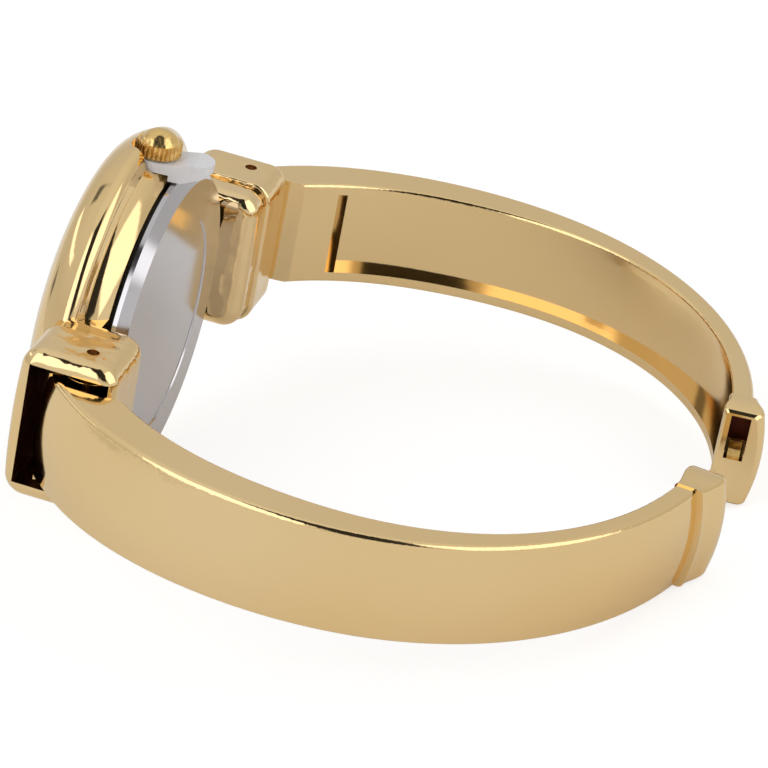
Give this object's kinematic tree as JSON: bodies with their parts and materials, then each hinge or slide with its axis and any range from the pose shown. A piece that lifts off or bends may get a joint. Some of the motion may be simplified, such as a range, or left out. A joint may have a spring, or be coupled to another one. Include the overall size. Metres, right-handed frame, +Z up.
{
  "type": "bangle watch",
  "caption": "Hinged bangle wristwatch lying on its side, crown up: domed round case, steel back, transport stop under the crown, and two rigid arms that meet at a clasp.",
  "frame": {"origin": "middle of the watch's bounding box, on the surface on which it lies", "axes": "+Z up, away from the surface; +Y from the 6 o'clock arm to the 12 o'clock arm; +X from the dial to the clasp; the case axis lies in the XZ plane, 12.97 degrees below +X"},
  "size_m": [0.0632, 0.0722, 0.0345],
  "materials": {
    "gold_plate": "mirror polished gold plate",
    "case_back_steel": "polished stainless steel",
    "crystal_glass": "clear mineral glass",
    "dial_face": "off-white sunray dial",
    "gasket_rubber": "black rubber",
    "stop_plastic": "white translucent plastic",
    "holder_plastic": "white plastic",
    "pin_steel": "plain steel",
    "movement_brass": "fine brushed brass",
    "movement_steel": "bright steel",
    "board_green": "green lacquered board",
    "coil_copper": "lacquered copper wire"
  },
  "bodies": {
    "case": {"bezel": "gold_plate", "crystal": "crystal_glass", "crystal_gasket": "gasket_rubber", "dial_ring": "gold_plate", "dial": "dial_face", "hour_markers": "gold_plate", "case_middle": "gold_plate", "crown_tube": "pin_steel", "case_back": "case_back_steel", "back_gasket": "gasket_rubber", "hood_12": "gold_plate", "hood_6": "gold_plate", "hinge_pin_12": "pin_steel", "hinge_pin_6": "pin_steel", "mainplate": "movement_brass", "train_bridge": "movement_brass", "movement_holder": "holder_plastic", "stator": "movement_steel", "coil": "coil_copper", "circuit_board": "board_green", "quartz_can": "movement_steel", "battery": "movement_steel", "battery_clamp": "movement_steel"},
    "arm_12_half": {"arm_12": "gold_plate", "clasp_catch": "gold_plate"},
    "arm_6_half": {"arm_6": "gold_plate", "clasp_tongue": "gold_plate"},
    "transport_stop": {"crown_stop": "stop_plastic"},
    "clutch": {"sliding_pinion": "pin_steel"},
    "crown_and_stem": {"crown": "gold_plate", "stem": "pin_steel", "crown_gasket": "gasket_rubber"},
    "minute_group": {"cannon_pinion": "movement_brass", "minute_hand": "gold_plate"},
    "minute_wheel_group": {"minute_wheel": "movement_brass"},
    "hour_group": {"hour_wheel": "movement_brass", "hour_hand": "gold_plate"},
    "setting_group": {"setting_wheel": "movement_brass"},
    "second_group": {"second_wheel": "movement_brass", "second_hand": "gold_plate"},
    "intermediate_group": {"intermediate_wheel": "movement_brass"},
    "rotor_group": {"rotor": "movement_steel"},
    "third_group": {"third_wheel": "movement_brass"},
    "centre_group": {"centre_wheel": "movement_brass"}
  },
  "joints": [
    {"name": "arm_12_hinge", "type": "hinge", "parent": "case", "child": "arm_12_half", "pos_m": [-0.02097, 0.02165, 0.01574], "axis": [0.2117, 0, 0.9773], "range_deg": [-7.3, 26]},
    {"name": "arm_6_hinge", "type": "hinge", "parent": "case", "child": "arm_6_half", "pos_m": [-0.02097, -0.02195, 0.01574], "axis": [-0.2117, 0, -0.9773], "range_deg": [-6.5, 26]},
    {"name": "stop_pull", "type": "slide", "parent": "case", "child": "transport_stop", "axis": [0.9773, 0, -0.2117], "range_m": [0, 0.03]},
    {"name": "crown_turn", "type": "hinge", "parent": "case", "child": "clutch", "pos_m": [-0.02056, -0.00015, 0.03223], "axis": [0.2117, 0, 0.9773], "continuous": true},
    {"name": "crown_push", "type": "slide", "parent": "clutch", "child": "crown_and_stem", "axis": [0.2117, 0, 0.9773], "range_m": [-0.0009, 0]},
    {"name": "minute_turn", "type": "hinge", "parent": "case", "child": "minute_group", "pos_m": [-0.02067, -0.00015, 0.01568], "axis": [0.9773, 0, -0.2117], "continuous": true},
    {"name": "minute_wheel_turn", "type": "hinge", "parent": "case", "child": "minute_wheel_group", "pos_m": [-0.02505, -0.00015, 0.01908], "axis": [0.9773, 0, -0.2117], "continuous": true},
    {"name": "hour_turn", "type": "hinge", "parent": "case", "child": "hour_group", "pos_m": [-0.02067, -0.00015, 0.01568], "axis": [0.9773, 0, -0.2117], "continuous": true},
    {"name": "setting_wheel_turn", "type": "hinge", "parent": "case", "child": "setting_group", "pos_m": [-0.02441, -0.00015, 0.02201], "axis": [0.9773, 0, -0.2117], "continuous": true},
    {"name": "second_turn", "type": "hinge", "parent": "case", "child": "second_group", "pos_m": [-0.02067, -0.00015, 0.01568], "axis": [0.9773, 0, -0.2117], "continuous": true},
    {"name": "intermediate_turn", "type": "hinge", "parent": "case", "child": "intermediate_group", "pos_m": [-0.02319, 0.00254, 0.01701], "axis": [0.9773, 0, -0.2117], "continuous": true},
    {"name": "rotor_turn", "type": "hinge", "parent": "case", "child": "rotor_group", "pos_m": [-0.02437, 0.00493, 0.01701], "axis": [0.9773, 0, -0.2117], "continuous": true},
    {"name": "third_turn", "type": "hinge", "parent": "case", "child": "third_group", "pos_m": [-0.02404, -0.00278, 0.01713], "axis": [0.9773, 0, -0.2117], "continuous": true},
    {"name": "centre_wheel_turn", "type": "hinge", "parent": "case", "child": "centre_group", "pos_m": [-0.02067, -0.00015, 0.01568], "axis": [0.9773, 0, -0.2117], "continuous": true}
  ],
  "couplings": [
    {"joint": "crown_push", "follows": "stop_pull", "ratio": -0.03},
    {"joint": "crown_turn", "follows": "minute_turn", "ratio": 0.83333},
    {"joint": "minute_wheel_turn", "follows": "minute_turn", "ratio": -0.33333},
    {"joint": "hour_turn", "follows": "minute_turn", "ratio": 0.083333},
    {"joint": "setting_wheel_turn", "follows": "minute_turn", "ratio": 0.5},
    {"joint": "intermediate_turn", "follows": "second_turn", "ratio": -6},
    {"joint": "rotor_turn", "follows": "second_turn", "ratio": 30},
    {"joint": "third_turn", "follows": "second_turn", "ratio": -0.13333},
    {"joint": "centre_wheel_turn", "follows": "second_turn", "ratio": 0.016667}
  ]
}
